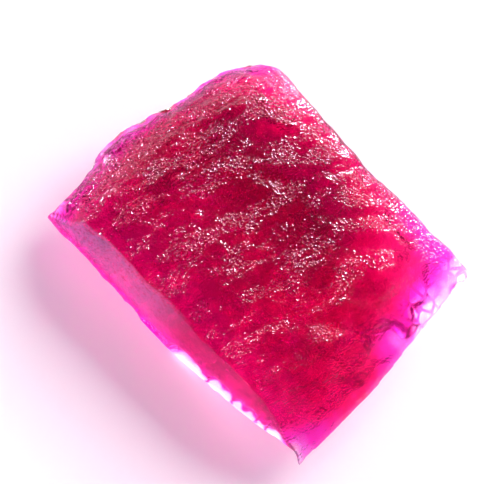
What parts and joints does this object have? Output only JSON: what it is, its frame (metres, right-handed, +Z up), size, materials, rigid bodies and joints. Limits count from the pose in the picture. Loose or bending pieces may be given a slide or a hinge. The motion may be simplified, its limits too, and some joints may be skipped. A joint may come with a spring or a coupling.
{
  "type": "rough gemstone",
  "caption": "Translucent crimson rough crystal slab with one sawn side, a ribbed natural face and thin broken rims, resting on its ground back.",
  "frame": {"origin": "centre of the stone's footprint, on the surface it rests on", "axes": "+X along the sawn side, +Y from the sawn side to the thin rim, +Z up through the broad natural face"},
  "size_m": [0.0412, 0.0322, 0.0091],
  "materials": {
    "beryl": "translucent crimson crystal, glassy and finely rough, frosted on the sawn side"
  },
  "bodies": {
    "root": {"rough_beryl": "beryl"}
  },
  "joints": []
}
